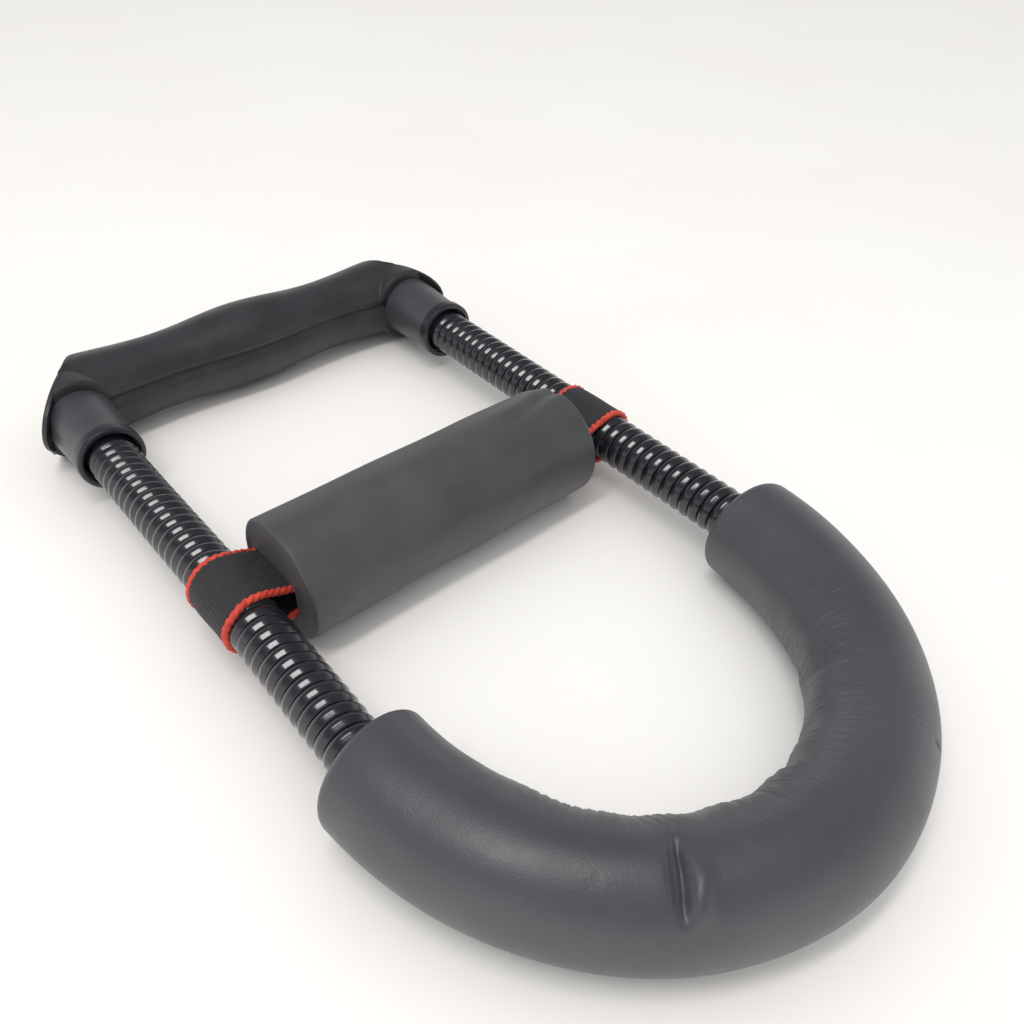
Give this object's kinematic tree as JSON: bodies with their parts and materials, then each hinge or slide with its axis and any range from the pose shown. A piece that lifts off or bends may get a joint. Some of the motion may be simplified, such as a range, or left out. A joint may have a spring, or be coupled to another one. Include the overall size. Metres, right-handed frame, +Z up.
{
  "type": "wrist trainer",
  "caption": "Spring wrist and forearm trainer with a padded U-shaped arm brace, coil springs, a wrist roll on a webbing strap and a moulded handle.",
  "frame": {"origin": "under the middle of the trainer's length and width, on the surface that it lies on", "axes": "+X across the springs to the right, +Y along the springs from the arm brace to the handle, +Z up from the surface it lies on"},
  "size_m": [0.1778, 0.3184, 0.04],
  "materials": {
    "charcoal_foam": "satin",
    "wrist_roll_foam": "matte",
    "black_webbing": "matte",
    "black_enamel": "gloss",
    "bright_steel": "satin",
    "grip_plastic": "satin",
    "socket_plastic": "satin"
  },
  "bodies": {
    "arm_brace": {"arm_rod": "bright_steel", "arm_foam": "charcoal_foam", "left_arm_seat": "bright_steel", "right_arm_seat": "bright_steel"},
    "springs": {"left_spring": "black_enamel", "right_spring": "black_enamel"},
    "wrist_pad": {"wrist_roll": "wrist_roll_foam", "wrist_strap": "black_webbing", "strap_lap": "black_webbing"},
    "handle": {"handle_rod": "bright_steel", "grip_upper": "grip_plastic", "grip_lower": "grip_plastic", "left_end_cap": "grip_plastic", "right_end_cap": "grip_plastic", "left_socket": "socket_plastic", "right_socket": "socket_plastic", "left_collar": "socket_plastic", "right_collar": "socket_plastic", "left_handle_stud": "bright_steel", "right_handle_stud": "bright_steel", "grip_screw_1": "bright_steel", "grip_screw_2": "bright_steel", "grip_screw_3": "bright_steel"}
  },
  "joints": [
    {"name": "lower_bend", "type": "hinge", "parent": "arm_brace", "child": "springs", "pos_m": [0, -0.01833, 0.01675], "axis": [1, 0, 0], "range_deg": [-30, 30], "stiffness_Nm_per_rad": 4, "deforming": ["left_spring", "right_spring"]},
    {"name": "upper_bend", "type": "hinge", "parent": "springs", "child": "handle", "pos_m": [0, 0.05967, 0.01675], "axis": [1, 0, 0], "range_deg": [-30, 30], "stiffness_Nm_per_rad": 4, "deforming": ["left_spring", "right_spring"]},
    {"name": "wrist_pad_slide", "type": "slide", "parent": "springs", "child": "wrist_pad", "axis": [0, 1, 0], "range_m": [-0.012, 0.022]}
  ],
  "couplings": [
    {"joint": "upper_bend", "follows": "lower_bend", "ratio": 1}
  ]
}
